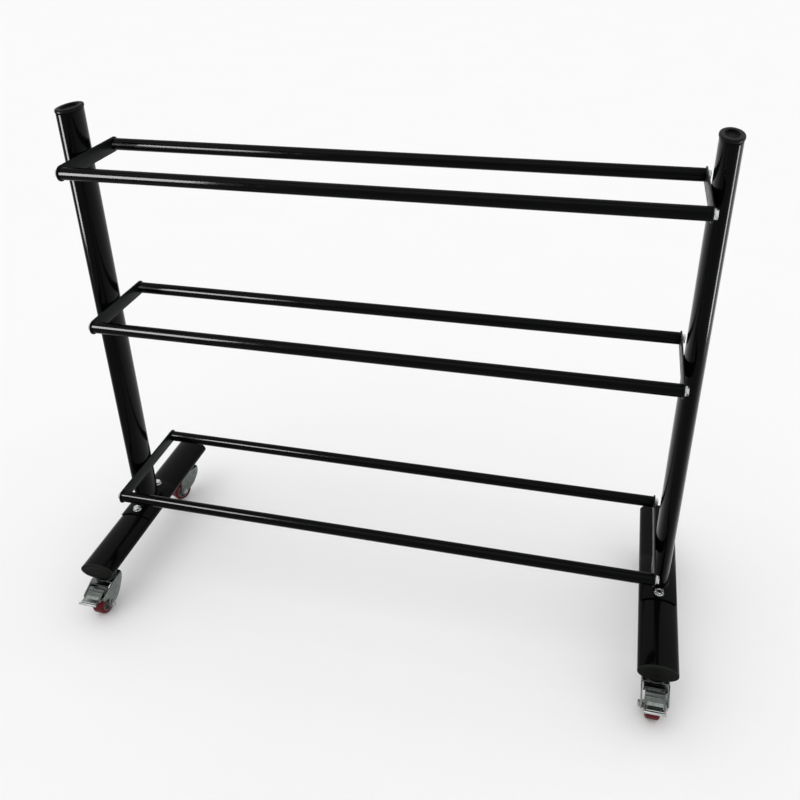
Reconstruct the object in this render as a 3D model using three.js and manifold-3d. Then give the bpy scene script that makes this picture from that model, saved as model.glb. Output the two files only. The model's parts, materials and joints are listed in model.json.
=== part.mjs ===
// Three-tier dumbbell rack on casters.
// Two oval uprights stand on two oval feet, three pairs of round rails run between
// them, and a swivel caster sits under each foot end; the two front ones have brakes.
// Millimetres. +X runs along the length, -Y is the front, +Z is up, the floor is z = 0.

import * as THREE from 'three';
import { mergeVertices } from 'three/addons/utils/BufferGeometryUtils.js';
import Module from 'manifold-3d';

const wasm = await Module();
wasm.setup();

// ---- driving dimensions -------------------------------------------------------

const GAP = 0.3;                 // clearance between pieces that touch
const DEPTH_SHIFT = 28.6;        // moves the rack back so the origin is mid-depth

const TUBE_LONG = 80;            // oval tube of the uprights and feet
const TUBE_SHORT = 40;
const TUBE_WALL = 2;
const UPRIGHT_X = 617;           // upright and foot centre, each side of the middle
const FOOT_Z = 116;              // centre height of the feet
const FOOT_HALF_LENGTH = 251;    // to the outer face of the end caps
const RACK_HEIGHT = 1113.5;       // to the top of the upright caps

const SADDLE_THICK = 3;
const SADDLE_HALF_LENGTH = 68;
const SADDLE_DROP = 11;          // lowest edge, above the foot's centre
const SADDLE_BOLT_Y = 52;

const RAIL_DIAMETER = 25;
const RAIL_WALL = 2;
const RAIL_PLUG = 18;
const PLATE_THICK = 3;
const PLATE_HALF_HEIGHT = 15.6;
const PLATE_INNER_X = UPRIGHT_X - TUBE_SHORT / 2 - GAP - PLATE_THICK;
const TIERS = [
  { name: 'bottom', z: 241.5, spacing: 250 },
  { name: 'middle', z: 674, spacing: 200 },
  { name: 'top', z: 1009.5, spacing: 200 },
];

const BOLT = { shank: 5, clearance: 5.4, head: 9.2, headHeight: 5, washer: 10, washerThick: 2 };
const RAIL_BOLT_LENGTH = 20;
const SADDLE_BOLT_LENGTH = 17;
const BOSS_RADIUS = 9;           // welded threaded insert inside a foot
const BOSS_HEIGHT = 11;
const BOLT_HOLE_DEPTH = 14;      // from the foot's outer face, through wall and insert

const CAP_FLANGE = 6;
const CAP_OVERHANG = 1.2;        // of an upright's cap, past the tube all round
const CAP_DISH = 4;              // depth of the recess in an upright's cap
const END_CAP_DISH = 0.8;
const CAP_RIM = { x: 8, y: 13 }; // width of the rim round that recess
const CAP_FLOOR = 2;
const CAP_SKIRT = 16;
const CAP_SKIRT_WALL = 2;
const END_CAP_THICK = 5;

const TRAIL = 31;                // swivel axis to wheel axle
const FRONT_CASTER_Y = TRAIL - FOOT_HALF_LENGTH;
const REAR_CASTER_Y = 202.6;
const WHEEL_RADIUS = 26.5;
const TREAD_WIDTH = 28;
const RIM_RADIUS = 20.3;         // where the tyre meets the hub
const HUB_DISH = 4;              // depth of the hub's face below the tyre's side
const HUB_BOSS_RADIUS = 8;
const AXLE_RADIUS = 4;
const AXLE_HEAD = { radius: 7.3, height: 4.4 };
const LEG_THICK = 2.4;
const LEG_LEAN = 0.06;           // how much the legs spread per millimetre of height
const CROWN_Z = 77;              // underside of the fork crown
const CROWN_THICK = 3;
const CROWN_TOP = CROWN_Z + CROWN_THICK;
const CROWN_REAR = 24;           // from the swivel axis
const CROWN_FRONT = -20;
const CROWN_CORNER = 8;
const CROWN_SKIRT = 11;          // height of the crown's turned-down rear edge
const SKIRT_FROM_Y = 4;
const KING_PIN_RADIUS = 6;
const COLLAR_RADIUS = 10.5;
const PEDAL_PIVOT = { y: -54, z: 61 };   // from the swivel axis and the floor
const PEDAL_PIN_RADIUS = 2.5;
const PEDAL_HALF_WIDTH = 19.5;
const PEDAL_SHEET = 2;
const SHOE_REACH = 14.6;         // brake shoe's nose, from the pedal's pivot
const SHOE_ANGLE = -56;          // its direction when the brake is on
const RUNNING_GAP = 0.4;         // round pins that turn in their holes

// Two kinds of caster: the braked one is wider, to take the pedal between its legs.
// legInnerX is at axle height, race is the radius of the cover over the swivel bearing.
const BRAKED = { legInnerX: 22, hubHalf: 21, race: 24, brake: true };
const PLAIN = { legInnerX: 15.4, hubHalf: 14.5, race: 19.5, brake: false };
const TONGUE = { halfWidth: 19, front: -34 };    // on a braked fork, behind the pedal

// side (-1 left, +1 right), y of the swivel axis, heading in degrees
const CASTERS = [
  { name: 'front_left', side: -1, y: FRONT_CASTER_Y, heading: 0, kind: BRAKED },
  { name: 'front_right', side: 1, y: FRONT_CASTER_Y, heading: 0, kind: BRAKED },
  { name: 'rear_left', side: -1, y: REAR_CASTER_Y, heading: -22.8, kind: PLAIN },
  { name: 'rear_right', side: 1, y: REAR_CASTER_Y, heading: 0, kind: PLAIN },
];

const OVAL_SEGMENTS = 36;
const ROUND_SEGMENTS = 24;
const SMALL_SEGMENTS = 12;

// ---- materials ----------------------------------------------------------------

const finish = (color, roughness, metalness) =>
  new THREE.MeshStandardMaterial({ color, roughness, metalness });

const gloss = finish(0x0b0c0e, 0.22, 0.1);
const plateBlack = finish(0x171b1b, 0.35, 0.2);
const capPlastic = finish(0x16171a, 0.6, 0);
const zinc = finish(0xb9bdbd, 0.3, 1);
const steelBright = finish(0xd2d6d6, 0.22, 1);
const redTyre = finish(0x5c0d16, 0.45, 0);

// ---- solid helpers ------------------------------------------------------------

function solid(geometry) {
  const bare = geometry.clone();
  bare.deleteAttribute('normal');
  bare.deleteAttribute('uv');
  const merged = mergeVertices(bare, 1e-4);
  const vertProperties = new Float32Array(merged.attributes.position.array);
  const triVerts = new Uint32Array(merged.index.array);
  return new wasm.Manifold(new wasm.Mesh({ numProp: 3, vertProperties, triVerts }));
}

function geometryOf(manifold) {
  const mesh = manifold.getMesh();
  const geometry = new THREE.BufferGeometry();
  const positions = new Float32Array(mesh.vertProperties);
  geometry.setAttribute('position', new THREE.BufferAttribute(positions, 3));
  geometry.setIndex(new THREE.BufferAttribute(new Uint32Array(mesh.triVerts), 1));
  geometry.computeVertexNormals();
  return geometry;
}

const joined = (...parts) => parts.reduce((whole, part) => whole.add(part));
const cut = (body, ...tools) => tools.reduce((rest, tool) => rest.subtract(tool), body);

// A rod along +Z, centred on the origin; six segments make a hexagon.
function rod(radius, length, segments = SMALL_SEGMENTS) {
  return new THREE.CylinderGeometry(radius, radius, length, segments).rotateX(Math.PI / 2);
}

// The same, running from one height to another.
function rodBetween(radius, from, to, segments = SMALL_SEGMENTS) {
  return rod(radius, to - from, segments).translate(0, 0, (from + to) / 2);
}

function rodX(radius, length, segments = SMALL_SEGMENTS) {
  return rod(radius, length, segments).rotateY(Math.PI / 2);
}

function ovalOutline(halfX, halfY, segments = OVAL_SEGMENTS) {
  const outline = new THREE.Shape();
  for (let i = 0; i < segments; i += 1) {
    const angle = (2 * Math.PI * i) / segments;
    const point = [halfX * Math.cos(angle), halfY * Math.sin(angle)];
    if (i === 0) outline.moveTo(...point);
    else outline.lineTo(...point);
  }
  outline.closePath();
  return outline;
}

// A straight oval bar along +Z, centred on the origin.
function ovalBar(halfX, halfY, length) {
  const shape = ovalOutline(halfX, halfY);
  const bar = new THREE.ExtrudeGeometry(shape, { depth: length, bevelEnabled: false });
  return bar.translate(0, 0, -length / 2);
}

// An oval bar lying along Y, as the feet lie.
const ovalBarY = (halfX, halfZ, length) => ovalBar(halfX, halfZ, length).rotateX(Math.PI / 2);

// A flat outline in the Y-Z plane, given as [y, z] points, extruded along X about x.
function plateYZ(points, thick, x) {
  const shape = new THREE.Shape(points.map(([y, z]) => new THREE.Vector2(y, z)));
  const plate = new THREE.ExtrudeGeometry(shape, { depth: thick, bevelEnabled: false });
  // The shape's x is turned to +Y, its y to +Z and its depth to +X.
  const turn = new THREE.Matrix4().set(0, 0, 1, x - thick / 2, 1, 0, 0, 0, 0, 1, 0, 0, 0, 0, 0, 1);
  return plate.applyMatrix4(turn);
}

// A turned piece about Z; points are [radius, z], from the axis back to the axis,
// or closed on themselves for a ring.
function turned(points, segments = ROUND_SEGMENTS) {
  const profile = points.map(([radius, z]) => new THREE.Vector2(radius, z));
  return new THREE.LatheGeometry(profile, segments).rotateX(Math.PI / 2);
}

// A short arc of points about a centre, in degrees.
function arc(centreU, centreV, radius, from, to, steps) {
  return Array.from({ length: steps + 1 }, (_, i) => {
    const angle = THREE.MathUtils.degToRad(from + ((to - from) * i) / steps);
    return [centreU + radius * Math.cos(angle), centreV + radius * Math.sin(angle)];
  });
}

const group = new THREE.Group();
group.position.y = DEPTH_SHIFT;

function place(parent, name, geometry, material, position = [0, 0, 0], rotation = [0, 0, 0]) {
  const mesh = new THREE.Mesh(geometry, material);
  mesh.name = name;
  mesh.position.set(...position);
  mesh.rotation.set(...rotation);
  parent.add(mesh);
}

// ---- frame --------------------------------------------------------------------

const HALF_LONG = TUBE_LONG / 2;
const HALF_SHORT = TUBE_SHORT / 2;
const SADDLE_TOP = FOOT_Z + HALF_SHORT + GAP + SADDLE_THICK;

// Welded threaded insert on the inside of the foot's wall, above or below.
function footBoss(y, sign) {
  const centre = sign * (HALF_SHORT - TUBE_WALL / 2 - BOSS_HEIGHT / 2);
  return solid(rod(BOSS_RADIUS, BOSS_HEIGHT).translate(0, y, centre));
}

// Oval foot tube, open at both ends, with inserts for the saddle bolts and stems.
function footTube() {
  const length = 2 * (FOOT_HALF_LENGTH - END_CAP_THICK - GAP);
  const outer = solid(ovalBarY(HALF_LONG, HALF_SHORT, length));
  const inner = solid(ovalBarY(HALF_LONG - TUBE_WALL, HALF_SHORT - TUBE_WALL, length + 2));
  let tube = cut(outer, inner);
  const threads = [
    [-SADDLE_BOLT_Y, 1],
    [SADDLE_BOLT_Y, 1],
    [FRONT_CASTER_Y, -1],
    [REAR_CASTER_Y, -1],
  ];
  for (const [y, sign] of threads) tube = joined(tube, footBoss(y, sign));
  for (const [y, sign] of threads) {
    const hole = rod(BOLT.clearance, 2 * BOLT_HOLE_DEPTH);
    tube = cut(tube, solid(hole.translate(0, y, sign * HALF_SHORT)));
  }
  return geometryOf(tube);
}

// Upright tube, coped at the bottom to sit on the saddle's curved top.
function uprightTube() {
  const bottom = FOOT_Z;
  const top = RACK_HEIGHT - CAP_FLANGE - GAP;
  const length = top - bottom;
  const centre = (top + bottom) / 2;
  const outer = solid(ovalBar(HALF_SHORT, HALF_LONG, length).translate(0, 0, centre));
  const hollow = ovalBar(HALF_SHORT - TUBE_WALL, HALF_LONG - TUBE_WALL, length + 2);
  const rise = 2 * GAP + SADDLE_THICK;
  const cope = ovalBarY(HALF_LONG + rise, HALF_SHORT + rise, 2 * TUBE_LONG);
  return geometryOf(
    cut(outer, solid(hollow.translate(0, 0, centre)), solid(cope.translate(0, 0, FOOT_Z))),
  );
}

// Bent plate over the top of the foot, which the upright is welded to.
function saddlePlate() {
  const length = 2 * SADDLE_HALF_LENGTH;
  const inner = ovalBarY(HALF_LONG + GAP, HALF_SHORT + GAP, length + 2);
  const rise = GAP + SADDLE_THICK;
  const outer = ovalBarY(HALF_LONG + rise, HALF_SHORT + rise, length);
  const below = new THREE.BoxGeometry(2 * TUBE_LONG, length + 2, TUBE_LONG);
  const holes = [-1, 1].map((end) =>
    solid(rod(BOLT.clearance, TUBE_SHORT).translate(0, end * SADDLE_BOLT_Y, HALF_SHORT)));
  const skin = cut(solid(outer), solid(inner), ...holes);
  return geometryOf(cut(skin, solid(below.translate(0, 0, SADDLE_DROP - TUBE_LONG / 2))));
}

// Moulded cap for a tube end, flange up with a recess in it, and a hollow skirt below
// that plugs the tube.
function tubeCap(flange, dish, overhang) {
  const face = ovalBar(HALF_SHORT + overhang, HALF_LONG + overhang, flange);
  const skirtX = HALF_SHORT - TUBE_WALL - GAP;
  const skirtY = HALF_LONG - TUBE_WALL - GAP;
  const skirt = ovalBar(skirtX, skirtY, CAP_SKIRT).translate(0, 0, (flange - CAP_SKIRT) / 2);
  const hollow = ovalBar(skirtX - CAP_SKIRT_WALL, skirtY - CAP_SKIRT_WALL, CAP_SKIRT);
  const hollowTop = Math.min(0, flange - dish - CAP_FLOOR);
  const recess = ovalBar(HALF_SHORT - CAP_RIM.x, HALF_LONG - CAP_RIM.y, 2 * dish);
  return geometryOf(cut(
    joined(solid(face.translate(0, 0, flange / 2)), solid(skirt)),
    solid(hollow.translate(0, 0, hollowTop - CAP_SKIRT / 2)),
    solid(recess.translate(0, 0, flange)),
  ));
}

// Hex bolt with its washer, along -Z from the underside of the washer at z = 0.
function hexBolt(length) {
  const headTop = BOLT.washerThick + BOLT.headHeight;
  const washer = rodBetween(BOLT.washer, 0, BOLT.washerThick);
  const head = rodBetween(BOLT.head, BOLT.washerThick / 2, headTop, 6);
  const shank = rodBetween(BOLT.shank, -length, headTop / 2);
  return geometryOf(joined(solid(washer), solid(head), solid(shank)));
}

// Shelf end plate: a flat bar with round ends and a bolt hole at each rail.
function endPlate(spacing) {
  const half = spacing / 2;
  const outline = [
    ...arc(half, 0, PLATE_HALF_HEIGHT, -90, 90, 7),
    ...arc(-half, 0, PLATE_HALF_HEIGHT, 90, 270, 7),
  ];
  const plate = solid(plateYZ(outline, PLATE_THICK, 0));
  const holes = [-1, 1].map((end) =>
    solid(rodX(BOLT.clearance, 3 * PLATE_THICK).translate(0, end * half, 0)));
  return geometryOf(cut(plate, ...holes));
}

// Shelf rail: a round tube with a bored plug welded in each end.
function railTube() {
  const length = 2 * (PLATE_INNER_X - GAP);
  const outer = solid(rodX(RAIL_DIAMETER / 2, length, ROUND_SEGMENTS));
  const inside = rodX(RAIL_DIAMETER / 2 - RAIL_WALL, length - 2 * RAIL_PLUG, ROUND_SEGMENTS);
  const bore = rodX(BOLT.clearance, length + 2);
  return geometryOf(cut(outer, solid(inside), solid(bore)));
}

function buildFrame() {
  const saddle = saddlePlate();
  const foot = footTube();
  const upright = uprightTube();
  const topCap = tubeCap(CAP_FLANGE, CAP_DISH, CAP_OVERHANG);
  const endCap = tubeCap(END_CAP_THICK, END_CAP_DISH, 0);
  const saddleBolt = hexBolt(SADDLE_BOLT_LENGTH);
  for (const [side, sign] of [['left', -1], ['right', 1]]) {
    const x = sign * UPRIGHT_X;
    place(group, `${side}_foot`, foot, gloss, [x, 0, FOOT_Z]);
    place(group, `${side}_saddle`, saddle, gloss, [x, 0, FOOT_Z]);
    place(group, `${side}_upright`, upright, gloss, [x, 0, 0]);
    place(group, `${side}_upright_cap`, topCap, capPlastic, [x, 0, RACK_HEIGHT - CAP_FLANGE]);
    for (const [end, way] of [['front', -1], ['rear', 1]]) {
      const capY = way * (FOOT_HALF_LENGTH - END_CAP_THICK);
      const turn = [-way * Math.PI / 2, 0, Math.PI / 2];
      place(group, `${side}_foot_${end}_cap`, endCap, capPlastic, [x, capY, FOOT_Z], turn);
      const boltZ = SADDLE_TOP + GAP;
      place(group, `${side}_saddle_${end}_bolt`, saddleBolt, steelBright,
        [x, way * SADDLE_BOLT_Y, boltZ]);
    }
  }
}

function buildShelves() {
  const rail = railTube();
  const bolt = hexBolt(RAIL_BOLT_LENGTH);
  for (const tier of TIERS) {
    const plate = endPlate(tier.spacing);
    for (const [side, sign] of [['left', -1], ['right', 1]]) {
      const plateX = sign * (PLATE_INNER_X + PLATE_THICK / 2);
      place(group, `${tier.name}_shelf_${side}_plate`, plate, plateBlack, [plateX, 0, tier.z]);
      for (const [end, way] of [['front', -1], ['rear', 1]]) {
        const boltX = sign * (PLATE_INNER_X + PLATE_THICK + GAP);
        place(group, `${tier.name}_${end}_rail_${side}_bolt`, bolt, steelBright,
          [boltX, way * tier.spacing / 2, tier.z], [0, sign * Math.PI / 2, 0]);
      }
    }
    for (const [end, way] of [['front', -1], ['rear', 1]]) {
      place(group, `${tier.name}_${end}_rail`, rail, gloss, [0, way * tier.spacing / 2, tier.z]);
    }
  }
}

// ---- casters ------------------------------------------------------------------
// Each caster is drawn about its swivel axis, with the wheel trailing towards -Y.

// Threaded stem with its collar, upper race cover and king pin, one turned piece.
function casterStem(kind) {
  const footUnder = FOOT_Z - HALF_SHORT;
  const pinHead = KING_PIN_RADIUS + 3;
  return turned([
    [0, CROWN_Z - 4],
    [pinHead, CROWN_Z - 4],
    [pinHead, CROWN_Z - GAP],
    [KING_PIN_RADIUS, CROWN_Z - GAP],
    [KING_PIN_RADIUS, CROWN_TOP + GAP],
    [kind.race, CROWN_TOP + GAP],
    [kind.race, CROWN_TOP + 3],
    [kind.race - 4, CROWN_TOP + 5],
    [COLLAR_RADIUS + 2, CROWN_TOP + 7],
    [COLLAR_RADIUS, footUnder - GAP],
    [BOLT.shank, footUnder - GAP],
    [BOLT.shank, footUnder + BOSS_HEIGHT],
    [0, footUnder + BOSS_HEIGHT],
  ], 20);
}

// Outer face of a fork's leg at a given height.
const legOuterX = (kind, z) => kind.legInnerX + LEG_THICK + LEG_LEAN * (z - WHEEL_RADIUS);

// Leg outline beside the wheel, as [y, z] about the swivel axis. The leg of a braked
// caster reaches forward to carry the pedal's pivot.
function legOutline(kind) {
  const front = kind.brake
    ? [
      [-TRAIL - 8.5, 51],
      [-TRAIL - 26, 56.8],
      ...arc(PEDAL_PIVOT.y - 2, PEDAL_PIVOT.z + 0.5, 5, 225, 105, 4),
    ]
    : [[-TRAIL - 10, 40], [-TRAIL - 7, 54], [-TRAIL + 2, 68]];
  return [
    [20, CROWN_Z + 1],
    [20.5, 70],
    [17.5, 59],
    [11.5, 49],
    [4, 37],
    [-10, 26.5],
    ...arc(-TRAIL, WHEEL_RADIUS, 10, -30, -165, 6),
    ...front,
    [CROWN_FRONT, CROWN_Z + 1],
  ];
}

// One leg of the fork: the flat outline, leaning outwards as it rises.
function forkLeg(kind, side) {
  const leg = plateYZ(legOutline(kind), LEG_THICK, side * (kind.legInnerX + LEG_THICK / 2));
  const lean = new THREE.Matrix4().makeShear(0, 0, 0, 0, side * LEG_LEAN, 0);
  return solid(leg.translate(0, 0, -WHEEL_RADIUS).applyMatrix4(lean).translate(0, 0, WHEEL_RADIUS));
}

// The crown's outline from above, square at the front and round-cornered at the rear,
// drawn in by an inset and extruded between two heights.
function crownSlab(kind, inset, from, to) {
  const half = legOuterX(kind, CROWN_TOP) - inset;
  const rear = CROWN_REAR - inset;
  const radius = CROWN_CORNER - inset;
  const outline = new THREE.Shape([
    [-half, CROWN_FRONT],
    [half, CROWN_FRONT],
    ...arc(half - radius, rear - radius, radius, 0, 90, 5),
    ...arc(radius - half, rear - radius, radius, 90, 180, 5),
  ].map(([x, y]) => new THREE.Vector2(x, y)));
  const slab = new THREE.ExtrudeGeometry(outline, { depth: to - from, bevelEnabled: false });
  return slab.translate(0, 0, from);
}

// Fork: a pressed crown over the wheel, its rear edge turned down, with a leg down
// each side.
function casterFork(kind) {
  const skirtFoot = CROWN_TOP - CROWN_SKIRT;
  const across = 4 * legOuterX(kind, CROWN_TOP);
  const frontSide = new THREE.BoxGeometry(across, 2 * TRAIL, 2 * CROWN_SKIRT);
  const skirt = cut(
    solid(crownSlab(kind, 0, skirtFoot, CROWN_TOP)),
    solid(crownSlab(kind, LEG_THICK, skirtFoot - 1, CROWN_TOP + 1)),
    solid(frontSide.translate(0, SKIRT_FROM_Y - TRAIL, skirtFoot)),
  );
  const crown = solid(crownSlab(kind, 0, CROWN_Z, CROWN_TOP));
  let fork = joined(crown, forkLeg(kind, -1), forkLeg(kind, 1), skirt);
  const axleHole = rodX(AXLE_RADIUS + RUNNING_GAP, across);
  const tools = [
    solid(rodBetween(KING_PIN_RADIUS + RUNNING_GAP, skirtFoot, CROWN_TOP + 1)),
    solid(axleHole.translate(0, -TRAIL, WHEEL_RADIUS)),
  ];
  if (kind.brake) {
    const tongueLength = -TONGUE.front;
    const tongue = new THREE.BoxGeometry(2 * TONGUE.halfWidth, tongueLength, CROWN_THICK);
    fork = joined(fork, solid(tongue.translate(0, -tongueLength / 2, CROWN_Z + CROWN_THICK / 2)));
    const pinHole = rodX(PEDAL_PIN_RADIUS + RUNNING_GAP, across);
    tools.push(solid(pinHole.translate(0, PEDAL_PIVOT.y, PEDAL_PIVOT.z)));
  }
  return geometryOf(cut(fork, ...tools));
}

// Wheel: tyre, dished hub and bearing bosses, about its own centre with X as axle.
function casterWheel(kind) {
  const half = TREAD_WIDTH / 2;
  const bore = AXLE_RADIUS + RUNNING_GAP;
  const face = [
    [bore, kind.hubHalf],
    [HUB_BOSS_RADIUS, kind.hubHalf],
    [HUB_BOSS_RADIUS + 1, half - HUB_DISH - 1],
    [RIM_RADIUS, half - HUB_DISH],
    [RIM_RADIUS, half],
    [WHEEL_RADIUS - 3, half],
    [WHEEL_RADIUS, half - 5],
  ];
  const mirrored = face.map(([radius, x]) => [radius, -x]);
  const ring = [...mirrored, ...face.reverse(), mirrored[0]];
  return turned(ring).rotateY(Math.PI / 2);
}

// Axle bolt across the fork: hex head on one side, nut on the other.
function casterAxle(kind) {
  const inner = legOuterX(kind, WHEEL_RADIUS + AXLE_HEAD.radius) + GAP;
  const outer = inner + AXLE_HEAD.height;
  const ends = [-1, 1].map((side) => {
    const hex = rodX(AXLE_HEAD.radius, AXLE_HEAD.height, 6);
    return solid(hex.translate((side * (inner + outer)) / 2, 0, 0));
  });
  return geometryOf(joined(solid(rodX(AXLE_RADIUS, 2 * outer + 1)), ...ends));
}

// Brake pedal about its pivot: a bent tread with a turned-down lip, two cheeks, a
// brake shoe across the tyre and the pin that it turns on.
function brakePedal() {
  const tread = plateYZ([
    [15, 16.5],
    [-14, 7.5],
    [-29, 8.5],
    [-33.5, 10.5],
    [-34.2, 4.5],
    [-32.2, 4.5],
    [-31.8, 7.6],
    [-28.6, 6.4],
    [-14, 5.4],
    [15.6, 14.5],
  ], 2 * PEDAL_HALF_WIDTH, 0);
  const nose = THREE.MathUtils.degToRad(SHOE_ANGLE);
  const noseY = SHOE_REACH * Math.cos(nose);
  const noseZ = SHOE_REACH * Math.sin(nose);
  const cheek = [
    [15, 15.5],
    [-14, 6.8],
    [-20, 6.6],
    [-14, 1],
    ...arc(0, 0, 5, 190, 240, 2),
    [noseY - 3, noseZ + 1],
    [noseY + 1.5, noseZ + 1],
    [11, 3],
  ];
  const cheekX = PEDAL_HALF_WIDTH - PEDAL_SHEET / 2;
  const cheeks = [-1, 1].map((side) => solid(plateYZ(cheek, PEDAL_SHEET, side * cheekX)));
  const shoe = plateYZ([
    [noseY - 3, noseZ + 3.5],
    [noseY - 2.4, noseZ],
    [noseY, noseZ],
    [noseY + 3, noseZ + 4.5],
  ], 2 * PEDAL_HALF_WIDTH - PEDAL_SHEET, 0);
  const pin = rodX(PEDAL_PIN_RADIUS, 2 * legOuterX(BRAKED, PEDAL_PIVOT.z) + 1);
  return geometryOf(joined(solid(tread), ...cheeks, solid(shoe), solid(pin)));
}

function buildCasters() {
  const pedal = brakePedal();
  for (const { name, side, y, heading, kind } of CASTERS) {
    const turret = new THREE.Group();
    turret.position.set(side * UPRIGHT_X, y, 0);
    turret.rotation.z = THREE.MathUtils.degToRad(heading);
    group.add(turret);
    const axle = [0, -TRAIL, WHEEL_RADIUS];
    place(turret, `${name}_caster_stem`, casterStem(kind), zinc);
    place(turret, `${name}_caster_fork`, casterFork(kind), zinc);
    place(turret, `${name}_wheel`, casterWheel(kind), redTyre, axle);
    place(turret, `${name}_axle_bolt`, casterAxle(kind), steelBright, axle);
    if (kind.brake) {
      const pivot = [0, PEDAL_PIVOT.y, PEDAL_PIVOT.z];
      place(turret, `${name}_brake_pedal`, pedal, zinc, pivot);
    }
  }
}

buildFrame();
buildShelves();
buildCasters();

export default group;
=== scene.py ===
"""Looks for the three-tier dumbbell rack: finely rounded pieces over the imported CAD
frame, procedural paint, plating, plastic and tyre materials, a pale floor and soft light.

Piece meshes are written in millimetres about their own origin, and each piece is placed
in the shared frame, in metres. +X runs along the rails, -Y is the front, +Z is up."""

import json
import math

import bmesh
import bpy
from mathutils import Matrix, Vector


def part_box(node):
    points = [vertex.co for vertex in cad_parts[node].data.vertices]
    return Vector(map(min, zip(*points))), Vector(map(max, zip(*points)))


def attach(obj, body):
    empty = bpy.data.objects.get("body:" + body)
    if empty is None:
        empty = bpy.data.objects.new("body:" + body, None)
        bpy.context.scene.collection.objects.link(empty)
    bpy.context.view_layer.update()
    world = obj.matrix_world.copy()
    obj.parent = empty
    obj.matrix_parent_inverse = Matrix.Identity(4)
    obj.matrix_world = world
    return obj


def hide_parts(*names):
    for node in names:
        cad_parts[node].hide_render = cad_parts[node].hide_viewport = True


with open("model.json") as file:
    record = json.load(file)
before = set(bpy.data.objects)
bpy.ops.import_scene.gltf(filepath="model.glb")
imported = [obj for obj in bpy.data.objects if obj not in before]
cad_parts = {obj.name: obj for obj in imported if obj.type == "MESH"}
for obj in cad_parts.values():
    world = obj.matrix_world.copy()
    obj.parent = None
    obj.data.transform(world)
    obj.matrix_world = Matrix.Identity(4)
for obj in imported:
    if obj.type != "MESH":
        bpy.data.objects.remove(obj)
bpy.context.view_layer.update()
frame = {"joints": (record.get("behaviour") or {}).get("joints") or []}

MM = 0.001
QUARTER = math.pi / 2
BODY = "frame"              # the body that doesn't move
SIDES = {"left": -1, "right": 1}
ENDS = {"front": -1, "rear": 1}
TIERS = ("bottom", "middle", "top")

# ---- dimensions of the pieces, in millimetres -------------------------------------

TUBE_LONG = 40.0            # half sizes of the oval tube
TUBE_SHORT = 20.0
TUBE_WALL = 2.0
FOOT_Z = 116.0              # height of the feet's middle line
SADDLE_GAP = 0.3
SADDLE_THICK = 3.0
SADDLE_HALF_LENGTH = 68.0
SADDLE_DROP = 11.0          # how far over the foot's middle line the saddle ends
CAP_FLANGE = 6.0
CAP_OVERHANG = 1.2
CAP_RECESS = 4.0
FOOT_CAP_FLANGE = 5.0

RAIL_RADIUS = 12.5
RAIL_BORE = 5.4
PLATE_HALF_HEIGHT = 15.6
PLATE_THICK = 3.0

BOLT_RADIUS = 5.0
BOLT_WASHER = 10.0
BOLT_HEAD = 9.2             # to the corners of the hexagon
SADDLE_BOLT_LENGTH = 17.0
RAIL_BOLT_LENGTH = 20.0

WHEEL_RADIUS = 26.5         # also the axle's height
TREAD_HALF = 14.0
RIM_RADIUS = 20.3
TRAIL = 31.0                # how far ahead of the swivel axis the axle lies
AXLE_RADIUS = 4.0
CROWN_Z = 77.0
CROWN_TOP = 80.0
CROWN_REAR = 24.0
CROWN_FRONT = -20.0
CROWN_CORNER = 8.0
SKIRT_FOOT = 69.0
SKIRT_FROM_Y = 4.0
LEG_THICK = 2.4
LEG_LEAN = 0.06             # how much the legs spread per millimetre of height
TONGUE = (23.5, -34.0)      # half width and front of the strip behind the pedal
PEDAL_PIVOT = (-54.0, 61.0)
PEDAL_HALF_WIDTH = 19.5

# Upper line of the pedal's tread, [y, z] from its pivot, which the pad lies on.
TREAD_TOP = [(-30.0, 8.2), (-29.0, 8.0), (-14.0, 7.5), (-2.4, 11.2), (5.6, 13.6), (15.0, 16.5)]

# The casters' kinds: inner faces of the legs and hub ends, from the middle, and race cover's
# radius. Front casters carry a brake pedal between their legs and are wider.
BRAKED = {"leg": 22.0, "hub": 21.0, "race": 24.0, "brake": True}
PLAIN = {"leg": 15.4, "hub": 14.5, "race": 19.5, "brake": False}

OVAL_STEPS = 96
ROUND_STEPS = 64


# ---- mesh helpers -----------------------------------------------------------------

class Shape:
    """Points and faces of one mesh, collected loop by loop."""

    def __init__(self):
        self.points = []
        self.faces = []

    def loop(self, points):
        start = len(self.points)
        self.points.extend(tuple(p) for p in points)
        return list(range(start, len(self.points)))

    def bridge(self, a, b):
        count = len(a)
        for i in range(count):
            j = (i + 1) % count
            self.faces.append((a[i], a[j], b[j], b[i]))

    def cap(self, loop):
        self.faces.append(tuple(loop))

    def skin(self, rings, closed=False, ends=True):
        """Joins the rings in order. closed also joins the last to the first."""
        loops = [self.loop(r) for r in rings]
        for a, b in zip(loops, loops[1:]):
            self.bridge(a, b)
        if closed:
            self.bridge(loops[-1], loops[0])
        elif ends:
            self.cap(loops[0])
            self.cap(loops[-1])

    def mesh(self, name):
        mesh = bpy.data.meshes.new(name)
        mesh.from_pydata([Vector(p) * MM for p in self.points], [], self.faces)
        bm = bmesh.new()
        bm.from_mesh(mesh)
        bmesh.ops.remove_doubles(bm, verts=bm.verts, dist=1e-7)
        bmesh.ops.recalc_face_normals(bm, faces=bm.faces)
        bm.to_mesh(mesh)
        bm.free()
        return mesh


def smoothed(mesh, angle=32):
    mesh.shade_smooth()
    mesh.set_sharp_from_angle(angle=math.radians(angle))
    return mesh


def circle(radius, z, steps=ROUND_STEPS):
    turn = 2 * math.pi / steps
    return [(radius * math.cos(i * turn), radius * math.sin(i * turn), z) for i in range(steps)]


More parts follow.
